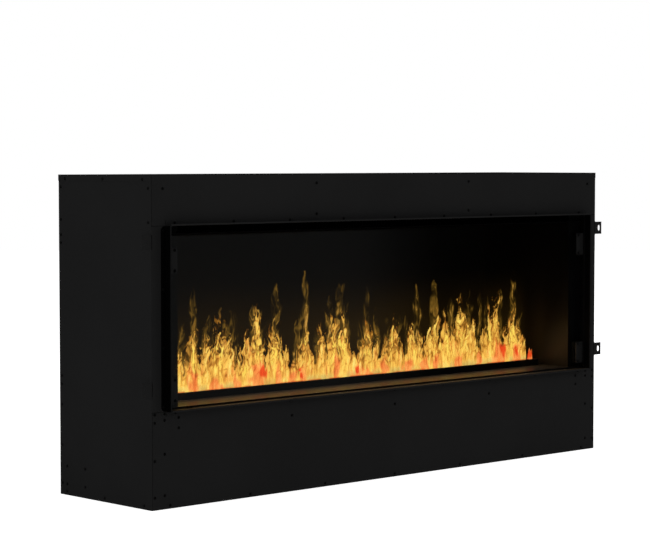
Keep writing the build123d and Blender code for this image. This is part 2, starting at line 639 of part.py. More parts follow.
EAR_X = (TANK_X[0] + 30, TANK_X[1] - 30)
PIVOT = (behind(262), 230.0)
NECK_RADIUS = 19.0
with BuildPart() as water_tank:
    ys = (behind(TANK_Y[0]), behind(TANK_Y[1]))
    block(TANK_X, ys, TANK_Z)
    fillet(water_tank.edges().filter_by(Axis.Z), 10)
    fillet(water_tank.faces().sort_by(Axis.Z)[-1].edges(), 3)
    rod("Z", (CAP_AT[0], behind(CAP_AT[1])), NECK_RADIUS, TANK_Z[1] - 1, TANK_Z[1] + 7)
    block((TANK_X[0] + TANK_WALL, TANK_X[1] - TANK_WALL), (ys[0] + TANK_WALL, ys[1] - TANK_WALL),
          (TANK_Z[0] + TANK_WALL, TANK_Z[1] - TANK_WALL - 1), mode=Mode.SUBTRACT)
    rod("Z", (CAP_AT[0], behind(CAP_AT[1])), NECK_RADIUS - 3, TANK_Z[1] - 10, TANK_Z[1] + 10,
        mode=Mode.SUBTRACT)
    for x in EAR_X:
        block((x - 3, x + 3), (PIVOT[0] - 5, PIVOT[0] + 5), (TANK_Z[1] - 1, PIVOT[1] + 4))
        rod("X", PIVOT, 2.0 + RUNNING_GAP, x - 5, x + 5, mode=Mode.SUBTRACT)
pieces["water_tank"] = water_tank

with BuildPart() as tank_handle:
    arm = 38.0
    cross = (EAR_X[0] - 7, EAR_X[1] + 7)
    for x in cross:
        block((x - 2.5, x + 2.5), (PIVOT[0] - 4, PIVOT[0] + arm), (PIVOT[1] - 3, PIVOT[1] + 3))
    block((cross[0] - 2.5, cross[1] + 2.5), (PIVOT[0] + arm - 8, PIVOT[0] + arm),
          (PIVOT[1] - 3, PIVOT[1] + 3))
    fillet(tank_handle.edges().filter_by(Axis.X), 1.5)
    for x, inward in zip(cross, (1, -1)):
        rod("X", PIVOT, 2.0, x, x + inward * 9)
pieces["tank_handle"] = tank_handle

with BuildPart() as tank_cap:
    at = (CAP_AT[0], behind(CAP_AT[1]))
    rod("Z", at, 23, TANK_Z[1] + 0.5, 236)
    fillet(tank_cap.faces().sort_by(Axis.Z)[-1].edges(), 1.5)
    with Locations((*at, 229)):
        with PolarLocations(24, 18):
            Cylinder(2, 20, mode=Mode.SUBTRACT)
    rod("Z", at, NECK_RADIUS + 0.3, TANK_Z[1] - 1, TANK_Z[1] + 7.3, mode=Mode.SUBTRACT)
pieces["tank_cap"] = tank_cap


# ---- controls and electrics -------------------------------------------------------------------
ROCKER_PIVOT = (ROCKER_X, behind(250), PANEL_TOP)
with BuildPart() as control_panel:
    block(PANEL_X, (behind(PANEL_Y[0]), behind(PANEL_Y[1])), (HEARTH_TOP, PANEL_TOP))
    chamfer(control_panel.faces().sort_by(Axis.Z)[-1].edges(), 2)
    block((PANEL_X[0] + 3, PANEL_X[1] - 3), (behind(PANEL_Y[0] + 3), behind(PANEL_Y[1] - 3)),
          (HEARTH_TOP - 1, PANEL_TOP - 2), mode=Mode.SUBTRACT)
    block((ROCKER_X - 15, ROCKER_X + 15), (behind(250) - 7, behind(250) + 7), (HEARTH_TOP, PANEL_TOP + 1),
          mode=Mode.SUBTRACT)
    for x in BUTTON_X:
        rod("Z", (x, behind(250)), BUTTON_RADIUS + BUTTON_GAP, HEARTH_TOP, PANEL_TOP + 1, mode=Mode.SUBTRACT)
pieces["control_panel"] = control_panel

tilt = math.radians(ROCKER_TILT)
rocker_plane = Plane(origin=ROCKER_PIVOT, x_dir=(math.cos(tilt), 0, math.sin(tilt)),
                     z_dir=(-math.sin(tilt), 0, math.cos(tilt)))
with BuildPart() as power_rocker:
    with BuildSketch(rocker_plane.offset(-5)) as rocker_plan:
        Rectangle(ROCKER_SIZE[0] - 2, ROCKER_SIZE[1])
    extrude(amount=ROCKER_SIZE[2])
    fillet(power_rocker.edges().filter_by(Axis.Y), 1)
pieces["power_rocker"] = power_rocker

for name, x in zip(("heat_button", "flame_button", "light_button"), BUTTON_X):
    with BuildPart() as button:
        rod("Z", (x, behind(250)), BUTTON_RADIUS, PANEL_TOP - 6, PANEL_TOP + 2.5)
        fillet(button.faces().sort_by(Axis.Z)[-1].edges(), 1)
    pieces[name] = button

with BuildPart() as power_supply:
    block((300, 460), (behind(200), behind(300)), (SHEET, 52))
    chamfer(power_supply.faces().sort_by(Axis.Z)[-1].edges(), 2)
    with Locations((380, behind(250), 52)):
        with GridLocations(12, 0, 11, 1):
            Box(4, 80, 6, mode=Mode.SUBTRACT)
pieces["power_supply"] = power_supply

with BuildPart() as control_board:
    block((500, 690), (behind(205), behind(315)), (12, 13.6))
    for x in (508, 682):
        for y in (213, 307):
            rod("Z", (x, behind(y)), 3, SHEET, 12)
    block((515, 545), (behind(225), behind(250)), (13.6, 38))
    block((560, 584), (behind(222), behind(246)), (13.6, 32))
    block((600, 640), (behind(262), behind(302)), (13.6, 17))
    for x in (520, 536, 552, 568):
        block((x, x + 12), (behind(290), behind(306)), (13.6, 26))
    for x in (610, 630, 650, 670):
        rod("Z", (x, behind(230)), 6, 13.6, 32)
pieces["control_board"] = control_board

with BuildPart() as terminal_box:
    block((-HALF + 2 * SHEET, -742), (behind(246), behind(344)), (17, 81))
    fillet(terminal_box.edges().filter_by(Axis.X), 5)
    rod("Y", (-760, 50), 6, behind(340), behind(350), mode=Mode.SUBTRACT)
    for y, z in TERMINAL_POINTS:
        rod("X", (behind(y), z), SCREW_SHANK, -HALF, -HALF + 8, mode=Mode.SUBTRACT)
pieces["terminal_box"] = terminal_box

CABLE_RADIUS = 4.5
with BuildPart() as cable_gland:
    face = BACK - BACK_SETBACK
    rod("Y", GLAND_AT, 14, face, BACK - 1)
    fillet(cable_gland.faces().sort_by(Axis.Y)[-1].edges(), 1.5)
    rod("Y", GLAND_AT, GLAND_RADIUS, face - 18, face)
    rod("Y", GLAND_AT, 13, face - 6, face - SHEET)
    rod("Y", GLAND_AT, CABLE_RADIUS, face - 20, BACK + 1, mode=Mode.SUBTRACT)
pieces["cable_gland"] = cable_gland


# ---- fan heater -------------------------------------------------------------------------------
HOUSING_HALF = 330.0
HOUSING_Y = (61.2, 255.0)
HOUSING_Z = (CEILING + SHEET, HEIGHT - SHEET)
WHEEL_Y, WHEEL_Z = behind(WHEEL_AT[0]), WHEEL_AT[1]
OUTLET_HALF = 290.0

with BuildPart() as warm_air_duct:
    roof = (OPEN_TOP + SHEET, OPEN_TOP + 2 * SHEET)
    upright = (CEILING + SHEET, roof[0] - SEAM)
    rear = behind(HOUSING_Y[0])
    step = behind(JAMB_SETBACK) + SHEET
    block((-OPEN_HALF, OPEN_HALF), (FRONT + SHEET, step), roof)
    block((-LINER_HALF, LINER_HALF), (step + SEAM, rear), roof)
    for side in (-1, 1):
        block((side * LINER_HALF, side * (LINER_HALF - SHEET)), (step - SHEET, rear - SHEET - SEAM), upright)
        block((side * LINER_HALF, side * OUTLET_HALF), (rear - SHEET, rear), upright)
pieces["warm_air_duct"] = warm_air_duct

with BuildPart() as outlet_grille:
    zone = (CEILING + SHEET, OPEN_TOP + SHEET)
    ys = (behind(40), behind(48))
    block((-OUTLET_HALF - 10, OUTLET_HALF + 10), ys, zone)
    block((-OUTLET_HALF, OUTLET_HALF), (ys[0] - 1, ys[1] + 1), (zone[0] + 2, zone[1] - 2), mode=Mode.SUBTRACT)
    with Locations((0, (ys[0] + ys[1]) / 2, (zone[0] + zone[1]) / 2)):
        with GridLocations(10, 0, 57, 1):
            Box(1.2, ys[1] - ys[0], zone[1] - zone[0] - 3)
pieces["outlet_grille"] = outlet_grille

with BuildPart() as heater_housing:
    ys = (behind(HOUSING_Y[0]), behind(HOUSING_Y[1]))
    open_box((-HOUSING_HALF, HOUSING_HALF), ys, (HOUSING_Z[0], HOUSING_Z[1] - SHEET - SEAM), SHEET)
    block((-HOUSING_HALF, HOUSING_HALF), ys, (HOUSING_Z[1] - SHEET, HOUSING_Z[1]))
    block((-OUTLET_HALF, OUTLET_HALF), (ys[0] - 1, ys[0] + 5), (CEILING + 3, OPEN_TOP), mode=Mode.SUBTRACT)
    with Locations((0, behind(225), HOUSING_Z[0])):
        with GridLocations(24, 0, int(2 * VENT_HALF / 24) + 1, 1):
            Box(8, 30, 6, mode=Mode.SUBTRACT)
    rod("X", (WHEEL_Y, WHEEL_Z), 6, HOUSING_HALF - 5, HOUSING_HALF + 5, mode=Mode.SUBTRACT)
pieces["heater_housing"] = heater_housing

with BuildPart() as heater_element:
    ys = (behind(74), behind(98))
    zs = (CEILING + 2 * SHEET, 690)
    for z in (zs[0], (zs[0] + zs[1]) / 2 - 2, zs[1] - 4):
        block((-280, 280), ys, (z, z + 4))
    with Locations((0, (ys[0] + ys[1]) / 2, (zs[0] + zs[1]) / 2)):
        with GridLocations(10, 0, 57, 1):
            Box(0.8, ys[1] - ys[0] - 4, zs[1] - zs[0] - 2)
pieces["heater_element"] = heater_element

with BuildPart() as blower_wheel:
    for x in (-WHEEL_HALF, -WHEEL_HALF / 3, WHEEL_HALF / 3, WHEEL_HALF):
        rod("X", (WHEEL_Y, WHEEL_Z), WHEEL_RADIUS, x - 1, x + 1)
    wheel_plane = Plane(origin=(0, WHEEL_Y, WHEEL_Z), x_dir=(0, 1, 0), z_dir=(1, 0, 0))
    with Locations(wheel_plane):
        with PolarLocations(WHEEL_RADIUS - 6, 24):
            Box(9, 1, 2 * WHEEL_HALF, rotation=(0, 0, 25))
    rod("X", (WHEEL_Y, WHEEL_Z), SHAFT_RADIUS, -WHEEL_HALF - 5, WHEEL_HALF + 5, mode=Mode.SUBTRACT)
pieces["blower_wheel"] = blower_wheel

MOTOR_X = (HOUSING_HALF, HOUSING_HALF + 60)
with BuildPart() as blower_shaft:
    rod("X", (WHEEL_Y, WHEEL_Z), SHAFT_RADIUS, -HOUSING_HALF + 5, MOTOR_X[0] + 30)
    chamfer(blower_shaft.edges(), 0.5)
pieces["blower_shaft"] = blower_shaft

with BuildPart() as blower_motor:
    rod("X", (WHEEL_Y, WHEEL_Z), 32, MOTOR_X[0] + 4, MOTOR_X[1])
    fillet(blower_motor.edges(), 4)
    block((MOTOR_X[0], MOTOR_X[0] + 4), (WHEEL_Y - 38, WHEEL_Y + 38), (WHEEL_Z - 20, WHEEL_Z + 20))
    with Locations(Plane(origin=(MOTOR_X[1] - 2, WHEEL_Y, WHEEL_Z), x_dir=(0, 1, 0), z_dir=(1, 0, 0))):
        with PolarLocations(20, 10):
            Box(10, 3, 10, mode=Mode.SUBTRACT)
    rod("X", (WHEEL_Y, WHEEL_Z), SHAFT_RADIUS + RUNNING_GAP, MOTOR_X[0] - 1, MOTOR_X[0] + 32,
        mode=Mode.SUBTRACT)
pieces["blower_motor"] = blower_motor

with BuildPart() as blower_bearing:
    wall = -HOUSING_HALF + SHEET
    rod("X", (WHEEL_Y, WHEEL_Z), 16, wall, wall + 3)
    rod("X", (WHEEL_Y, WHEEL_Z), 10, wall, wall + 14)
    rod("X", (WHEEL_Y, WHEEL_Z), SHAFT_RADIUS + RUNNING_GAP, wall + 2, wall + 20, mode=Mode.SUBTRACT)
pieces["blower_bearing"] = blower_bearing


# ---- export -----------------------------------------------------------------------------------
os.makedirs("parts", exist_ok=True)
for name, piece in pieces.items():
    piece.part.label = name
    export_step(piece.part, f"parts/{name}.step")
print(len(pieces), "pieces")
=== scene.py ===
import json
import math

import bmesh
import bpy
import numpy as np
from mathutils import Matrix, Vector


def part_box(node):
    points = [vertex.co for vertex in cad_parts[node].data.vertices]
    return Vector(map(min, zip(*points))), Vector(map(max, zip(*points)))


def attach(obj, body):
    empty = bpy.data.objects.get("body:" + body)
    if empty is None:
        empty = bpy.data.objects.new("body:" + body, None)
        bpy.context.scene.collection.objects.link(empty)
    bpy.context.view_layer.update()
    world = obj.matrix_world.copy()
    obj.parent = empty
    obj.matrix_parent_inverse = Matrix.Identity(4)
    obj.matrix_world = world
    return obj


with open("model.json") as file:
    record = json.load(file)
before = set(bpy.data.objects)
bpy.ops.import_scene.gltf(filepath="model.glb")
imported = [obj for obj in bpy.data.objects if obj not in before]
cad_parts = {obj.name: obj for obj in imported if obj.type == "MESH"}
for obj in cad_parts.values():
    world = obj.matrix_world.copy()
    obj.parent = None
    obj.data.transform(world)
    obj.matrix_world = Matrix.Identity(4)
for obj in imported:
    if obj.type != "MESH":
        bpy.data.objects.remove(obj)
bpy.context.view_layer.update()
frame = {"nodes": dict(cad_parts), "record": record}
nodes = frame["nodes"]
MM = 0.001


# ---- places taken from the frame ----------------------------------------------------------------
def low(node):
    """Lowest corner of a CAD node's box, in metres."""
    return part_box(node)[0]


def high(node):
    """Highest corner of a CAD node's box, in metres."""
    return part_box(node)[1]


HEM_FACE = low("apron_panel").y
FLAME_BASE = high("slot_cover").z
FLAME_Y = (low("mist_duct").y + high("mist_duct").y) / 2


# ---- materials ----------------------------------------------------------------------------------
# Noise scales, in cells per metre.
TONE_SCALE = 3.5             # slow drift in tone across a panel
GLOSS_SCALE = 60             # patches that are a little duller or glossier
PEEL_SCALE = 900             # orange peel of sprayed paint
# Heights of surface detail, in metres.
PEEL_HEIGHT = 0.0004
FINE_HEIGHT = 0.0002
# The collar's casing finish is full, and has ended, this many metres behind its front face.
EDGE_FULL = 0.0004
EDGE_GONE = 0.0015
EDGE_RAGGED = 0.0002


def linear(r, g, b):
    """Display values 0..255 as scene-linear."""
    return [((v / 255 + 0.055) / 1.055) ** 2.4 if v > 10.3 else v / 255 / 12.92 for v in (r, g, b)]


def grey(level):
    """A neutral display value 0..255 as scene-linear."""
    return linear(level, level, level)


class Nodes:
    """A new material's node tree with its Principled shader."""

    def __init__(self, name):
        self.material = bpy.data.materials.new(name)
        self.material.use_nodes = True
        self.tree = self.material.node_tree
        self.shader = self.tree.nodes["Principled BSDF"]
        self.output = self.tree.nodes["Material Output"]
        self.place = self.add("ShaderNodeTexCoord").outputs["Object"]

    def add(self, kind, **values):
        """Add a node. Each value is a link, a socket's number or one of the node's own settings."""
        node = self.tree.nodes.new(kind)
        for key, value in values.items():
            if isinstance(value, bpy.types.NodeSocket):
                self.tree.links.new(value, node.inputs[key])
            elif key in node.inputs:
                node.inputs[key].default_value = value
            else:
                setattr(node, key, value)
        return node

    def link(self, start, end):
        """Join an output socket to an input socket."""
        self.tree.links.new(start, end)

    def noise(self, scale, detail=4.0, roughness=0.55, stretch=None):
        """Noise in the object's own coordinates; a stretch below 1 draws it out along that axis."""
        place = self.place
        if stretch:
            mapping = self.add("ShaderNodeMapping")
            mapping.inputs["Scale"].default_value = stretch
            self.link(place, mapping.inputs["Vector"])
            place = mapping.outputs["Vector"]
        node = self.add("ShaderNodeTexNoise", Scale=scale, Detail=detail, Roughness=roughness)
        self.link(place, node.inputs["Vector"])
        return node.outputs["Fac"]

    def spread(self, value, start, end, low_in=0.3, high_in=0.7):
        """Map low_in..high_in, by default the middle of a noise, to start..end."""
        node = self.add("ShaderNodeMapRange")
        node.inputs["From Min"].default_value = low_in
        node.inputs["From Max"].default_value = high_in
        node.inputs["To Min"].default_value = start
        node.inputs["To Max"].default_value = end
        self.link(value, node.inputs["Value"])
        return node.outputs["Result"]

    def colours(self, value, stops):
        """Colours read off a list of (place, colour) stops."""
        node = self.add("ShaderNodeValToRGB")
        ramp = node.color_ramp
        while len(ramp.elements) < len(stops):
            ramp.elements.new(0.5)
        for element, (at, colour) in zip(ramp.elements, stops):
            element.position = at
            element.color = (*colour, 1)
        self.link(value, node.inputs["Fac"])
        return node.outputs["Color"]

    def bump(self, height, strength, distance):
        """Surface detail, at most a distance in metres high."""
        node = self.add("ShaderNodeBump", Strength=strength, Distance=distance)
        self.link(height, node.inputs["Height"])
        self.link(node.outputs["Normal"], self.shader.inputs["Normal"])

    def set(self, **values):
        """Set uniform values straight on the shader's sockets."""
        for key, value in values.items():
            self.shader.inputs[key.replace("_", " ")].default_value = value


def shade(colour, factor):
    """A colour made darker or lighter."""
    return [min(v * factor, 1) for v in colour]


def coated(name, colour, roughness, specular, grain=PEEL_SCALE, bump=0.10, contrast=0.05):
    """Paint, powder coat or moulded plastic: fine orange peel and a slow drift in tone."""
    m = Nodes(name)
    drift = m.noise(TONE_SCALE, 5)
    tones = [(0.35, shade(colour, 1 - contrast)), (0.65, shade(colour, 1 + contrast))]
    m.link(m.colours(drift, tones), m.shader.inputs["Base Color"])
    gloss = m.spread(m.noise(GLOSS_SCALE, 3), roughness - 0.05, roughness + 0.05)
    m.link(gloss, m.shader.inputs["Roughness"])
    m.bump(m.noise(grain, 2, 0.5), bump, PEEL_HEIGHT)
    m.set(Specular_IOR_Level=specular)
    return m.material


def collar_coat(colour, edge_colour):
    """Black coat whose folded front edge is finished like the casing."""
    edge_near = HEM_FACE + EDGE_FULL
    edge_far = HEM_FACE + EDGE_GONE
    m = Nodes("collar_coat")
    axes = m.add("ShaderNodeSeparateXYZ")
    m.link(m.place, axes.inputs["Vector"])
    speckle = m.spread(m.noise(40, 4), -EDGE_RAGGED, EDGE_RAGGED)
    depth = m.add("ShaderNodeMath", operation="ADD")
    m.link(axes.outputs["Y"], depth.inputs[0])
    m.link(speckle, depth.inputs[1])
    edge = m.spread(depth.outputs["Value"], 0, 1, edge_far, edge_near)
    m.link(m.colours(edge, [(0.0, colour), (1.0, edge_colour)]), m.shader.inputs["Base Color"])
    m.link(m.spread(m.noise(GLOSS_SCALE, 3), 0.36, 0.44), m.shader.inputs["Roughness"])
    m.bump(m.noise(PEEL_SCALE, 2, 0.5), 0.08, PEEL_HEIGHT)
    m.set(Specular_IOR_Level=0.04)
    return m.material


def brushed(name, colour, roughness, stretch):
    """Bare metal with drawn or turned lines."""
    m = Nodes(name)
    lines = m.noise(400, 3, 0.6, stretch)
    tones = [(0.3, shade(colour, 0.82)), (0.7, shade(colour, 1.08))]
    m.link(m.colours(lines, tones), m.shader.inputs["Base Color"])
    m.link(m.spread(lines, roughness - 0.08, roughness + 0.10), m.shader.inputs["Roughness"])
    m.bump(lines, 0.15, FINE_HEIGHT)
    m.set(Metallic=1.0)
    return m.material


def spangled(name, colour):
    """Zinc coating with its crystal flakes."""
    m = Nodes(name)
    flakes = m.add("ShaderNodeTexVoronoi", Scale=90.0)
    m.link(m.place, flakes.inputs["Vector"])
    tone = m.colours(flakes.outputs["Color"], [(0.2, shade(colour, 0.80)), (0.8, shade(colour, 1.12))])
    m.link(tone, m.shader.inputs["Base Color"])
    m.link(m.spread(m.noise(30, 3), 0.32, 0.5), m.shader.inputs["Roughness"])
    m.bump(flakes.outputs["Distance"], 0.05, FINE_HEIGHT)
    m.set(Metallic=1.0)
    return m.material


def clear_glass():
    """Thin clear glass: nearly all of it lets the view through, the rest mirrors the room."""
    m = Nodes("clear_glass")
    m.link(m.spread(m.noise(9, 6, 0.65), 0.02, 0.07), m.shader.inputs["Roughness"])
    m.set(Base_Color=(0.93, 0.95, 0.95, 1), Metallic=1.0, Alpha=0.07)
    return m.material


def circuit_board():
    """Green solder mask crossed by lighter tracks."""
    m = Nodes("circuit_board")
    cells = m.add("ShaderNodeTexBrick", Scale=60.0)
    cells.inputs["Color1"].default_value = (0.01, 0.07, 0.03, 1)
    cells.inputs["Color2"].default_value = (0.015, 0.10, 0.04, 1)
    cells.inputs["Mortar"].default_value = (0.10, 0.16, 0.05, 1)
    m.link(m.place, cells.inputs["Vector"])
    m.link(cells.outputs["Color"], m.shader.inputs["Base Color"])
    m.bump(cells.outputs["Fac"], 0.2, FINE_HEIGHT)
    m.set(Roughness=0.35)
    return m.material


finishes = {
    "casing": coated("powder_coat", linear(22, 22, 22.1), roughness=0.6, specular=0.04),
    "collar": collar_coat(grey(2.5), grey(15)),
    "liner": coated("liner_paint", grey(4), roughness=0.38, specular=0.2, grain=500, bump=0.06),
    "cover": coated("cover_paint", grey(5), roughness=0.5, specular=0.03),
    "screw": coated("blackened_steel", grey(6), roughness=0.4, specular=0.12, grain=1500, bump=0.05,
                    contrast=0.3),
    "glass": clear_glass(),
    "clip": coated("clip_paint", grey(20), roughness=0.6, specular=0.05),
    "rubber": coated("rubber", grey(5), roughness=0.8, specular=0.1, grain=700, bump=0.2),
    "galvanised": spangled("zinc_coating", (0.52, 0.53, 0.55)),
    "steel": brushed("turned_steel", (0.55, 0.55, 0.56), roughness=0.3, stretch=(0.05, 1, 1)),
    "black_plastic": coated("black_plastic", linear(34, 34, 35), roughness=0.5, specular=0.35, grain=1200,
                            bump=0.15),
    "white_plastic": coated("natural_plastic", linear(205, 206, 204), roughness=0.4, specular=0.5,
                            contrast=0.04),
    "tank_plastic": coated("tank_plastic", linear(186, 192, 196), roughness=0.28, specular=0.5,
                           contrast=0.05),
    "lens": coated("amber_lens", linear(225, 190, 130), roughness=0.15, specular=0.5, contrast=0.08),
    "board": circuit_board(),
    "heater": brushed("bare_fins", (0.62, 0.62, 0.62), roughness=0.35, stretch=(1, 1, 0.06)),
    "ceramic": coated("ceramic", linear(228, 224, 212), roughness=0.3, specular=0.5, contrast=0.05),
}
hearth_paint = coated("hearth_paint", linear(11, 11, 12), roughness=0.42, specular=0.09, grain=500,
                      bump=0.06)
# Near-black for the warm air duct and outlet grille: painted shade for the dark gap of the warm air
# outlet.
outlet_shade_black = coated("outlet_shade_black", grey(1.5), roughness=0.7, specular=0.03)

for part in frame["record"]["subparts"]:
    node = nodes[part["node"]]
    node.data.materials.clear()
    node.data.materials.append(finishes[part["material_slot"]])
# The warm air duct and outlet grille get the near-black of painted shade.
for name in ("warm_air_duct", "outlet_grille"):
    nodes[name].data.materials[0] = outlet_shade_black
nodes["hearth_floor"].data.materials[0] = hearth_paint

# Rounding of the sheet edges that catch the light, in millimetres.
BEVELS = {
    "side_panel_left": 0.35, "side_panel_right": 0.35, "top_cover": 0.35, "header_panel": 0.35,
    "apron_panel": 0.35, "collar_left": 0.3, "collar_right": 0.3, "jamb_left": 0.3, "jamb_right": 0.3,
    "slot_cover": 0.3, "glass_clips": 0.3, "hearth_floor": 0.3, "back_panel": 0.3,
}
for name, width in BEVELS.items():
    bevel = nodes[name].modifiers.new("edge", "BEVEL")
    bevel.width = width * MM
    bevel.segments = 2
    bevel.limit_method = "ANGLE"
    bevel.angle_limit = math.radians(50)
    bevel.harden_normals = True


# ---- flames -------------------------------------------------------------------------------------
# The flame's lengths are millimetres: x along the slot, y across it, z up from the slot cover.
# Bodies of flame: centre along the slot, height, half width at the foot and lean.
BODIES = [
    (-662, 74, 20, 4), (-628, 106, 26, 6), (-578, 138, 34, 6), (-540, 134, 26, 2), (-497, 160, 38, 6),
    (-460, 120, 24, -4), (-424, 92, 20, 6), (-398, 132, 24, 4), (-366, 166, 27, 2), (-334, 96, 16, 4),
    (-312, 144, 24, 4), (-290, 128, 20, 0), (-268, 86, 15, 0), (-244, 36, 16, 0), (-220, 102, 18, 4),
    (-194, 134, 20, 0), (-150, 132, 20, 4), (-112, 158, 26, 6), (-66, 156, 30, -2), (-32, 72, 14, 0),
    (-8, 88, 18, 2), (20, 128, 20, 0), (46, 98, 18, 2), (84, 88, 18, 4), (114, 134, 22, 2),
    (142, 86, 18, 0), (184, 126, 24, 2), (214, 98, 20, 2), (248, 106, 20, 4), (278, 136, 24, 0),
    (316, 134, 30, 2), (346, 110, 18, 4), (378, 160, 38, 4), (416, 120, 26, 2), (446, 62, 14, 0),
    (474, 98, 20, 4), (496, 132, 20, 2), (522, 168, 25, 2), (560, 98, 18, 2), (588, 142, 22, 2),
    (616, 104, 19, -4), (636, 60, 9, 0), (662, 34, 9, 2),
]
# Faint plumes above them, in the same order.
PLUMES = [
    (-655, 170, 12, 4), (-610, 165, 14, 2), (-578, 226, 15, 4), (-530, 158, 18, 4), (-470, 180, 20, 8),
    (-445, 165, 16, 8), (-384, 185, 16, 6), (-352, 176, 14, 2), (-306, 234, 20, 2), (-234, 145, 12, 2),
    (-214, 186, 18, -2), (-202, 268, 17, 2), (-162, 136, 12, 0), (-122, 186, 20, 6), (-84, 238, 20, 4),
    (-62, 218, 18, 2), (-10, 128, 12, 0), (18, 210, 13, 2), (50, 155, 16, 2), (90, 142, 12, 0),
    (130, 150, 16, 2), (162, 126, 10, 2), (200, 196, 16, 4), (214, 175, 14, 2), (272, 222, 16, 2),
    (340, 164, 16, 2), (402, 180, 20, 8), (452, 178, 12, 6), (484, 160, 16, 2), (532, 185, 18, 4),
    (592, 226, 19, 2), (622, 146, 12, -2),
]
# Yellow hearts, orange spots and red spots: centre along the slot, height, half width, half height.
HEARTS = [
    (-640, 48, 14, 34), (-574, 70, 16, 34), (-500, 84, 18, 44), (-415, 44, 10, 22), (-366, 84, 13, 44),
    (-304, 72, 16, 36), (-203, 80, 9, 30), (-112, 74, 12, 40), (-70, 80, 16, 40), (18, 64, 10, 30),
    (112, 70, 11, 30), (190, 60, 12, 28), (276, 70, 14, 34), (318, 66, 18, 34), (380, 84, 18, 44),
    (494, 66, 12, 32), (520, 88, 15, 44), (586, 70, 14, 36),
]
EMBERS = [
    (-577, 12, 11, 24), (-504, 8, 17, 16), (-440, 10, 11, 20), (-364, 22, 24, 34), (-300, 16, 12, 28),
    (-250, 10, 12, 18), (-213, 10, 9, 18), (-94, 24, 13, 20), (-18, 10, 16, 18), (18, 8, 16, 14),
    (80, 10, 12, 18), (168, 10, 18, 20), (230, 8, 16, 14), (280, 12, 10, 24), (362, 8, 18, 16),
    (445, 10, 12, 18), (530, 20, 24, 32), (599, 16, 12, 28), (655, 14, 12, 24),
]
FIERY = [
    (-350, 34, 13, 16), (-228, 32, 8, 9), (-216, 8, 8, 10), (-24, 22, 9, 9), (548, 34, 13, 16),
    (603, 24, 8, 16), (656, 16, 9, 18),
]

CELL = 1.6                   # spacing of a flame sheet's points
SHEET_HALF = 688             # half the length that the flame sheets are drawn over
SHEET_HEIGHT = 282
BAND_ENDS = (628, 640)       # where the low band of flame dies away at the right
ALONG = np.arange(-SHEET_HALF, SHEET_HALF, CELL)
UP = np.arange(0, SHEET_HEIGHT, CELL)
RIM_COVER = 0.03             # cover at which a flame sheet is cut off
SWAY_SEED = 200              # added to a sheet's seed for its waves across the slot
NOISE_LEFT = 1000            # the noise covers a field from this far left of the middle
NOISE_BELOW = 300            # and from this far below the cover
NOISE_LENGTH = 2000
NOISE_HEIGHT = 900
ROW_CELL = 500               # height of the one noise cell that a row is read from
NEIGHBOURS = ((1, 0), (-1, 0), (0, 1), (0, -1), (1, 1), (1, -1), (-1, 1), (-1, -1))

VEIL_CELL = 8.0
VEIL_HALF = 664              # keeps inside the ends of the cover's slot
VEIL_HEIGHT = 272
VEIL_FADE = 80               # height above which the veil fades
VEIL_LEFT = -640             # the veil is at full strength between these places
VEIL_RIGHT = 610
VEIL_COVER = 0.27
VEIL_SEED = 5

# Display colours of the bodies, their orange spots and the plumes, from the dimmest to the brightest.
BODY_TONES = [
    (0, (70, 42, 8)), (0.25, (146, 94, 24)), (0.42, (216, 150, 58)), (0.6, (244, 184, 78)),
    (0.8, (254, 204, 92)), (1, (255, 224, 118)),
]
EMBER_TONES = [(0, (150, 50, 16)), (0.5, (238, 112, 54)), (1, (255, 156, 84))]
PLUME_TONES = [(0, (36, 25, 6)), (0.35, (80, 60, 18)), (0.7, (126, 92, 32)), (1, (212, 160, 76))]
HEART_COLOUR = (255, 228, 92)
FIERY_COLOUR = (232, 70, 28)
PALE_COLOUR = (186, 158, 88)         # pale patches in the lowest 20 mm
FOOT_COLOUR = (206, 66, 24)          # red patches in the lowest 4 mm
VEIL_COLOUR = (52, 38, 12)
PLUME_COVER = 0.85
FLAME_STRENGTH = 1.22


def smooth(start, end, value):
    """Ease from 0 at start to 1 at end; start may be the larger."""
    t = np.clip((value - start) / (end - start), 0, 1)
    return t * t * (3 - 2 * t)


def lattice_noise(rng, x, z, size_x, size_z):
    """Smooth noise in 0..1 with cells of the given size."""
    u = (x + NOISE_LEFT) / size_x
    v = (z + NOISE_BELOW) / size_z
    grid = rng.random((int(NOISE_LENGTH / size_x) + 3, int(NOISE_HEIGHT / size_z) + 3))
    i = np.clip(u.astype(int), 0, grid.shape[0] - 2)
    j = np.clip(v.astype(int), 0, grid.shape[1] - 2)
    a = smooth(0, 1, u - i)
    b = smooth(0, 1, v - j)
    near = grid[i, j] * (1 - a) + grid[i + 1, j] * a
    far = grid[i, j + 1] * (1 - a) + grid[i + 1, j + 1] * a
    return near * (1 - b) + far * b


def threads(rng, x, z, size_x, size_z):
    """Noise folded at its middle, so that it is 1 along thin wandering lines."""
    return 1 - np.abs(2 * lattice_noise(rng, x, z, size_x, size_z) - 1)


def ramp(value, stops):
    """Display colours 0..1 read off a list of (place, colour) stops."""
    at = [stop[0] for stop in stops]
    return np.stack([np.interp(value, at, [stop[1][k] / 255 for stop in stops]) for k in range(3)], -1)


def blend_in(colour, other, share):
    """Colours with a share of another laid over them."""
    return colour * (1 - share[..., None]) + other * share[..., None]


def patches(table, x, z):
    """Soft oval patches: 1 at the centre of each, 0 far from all of them."""
    best = np.zeros_like(x)
    for centre, height, half_x, half_z in table:
        best = np.maximum(best, np.exp(-((x - centre) / half_x) ** 2 - ((z - height) / half_z) ** 2))
    return best


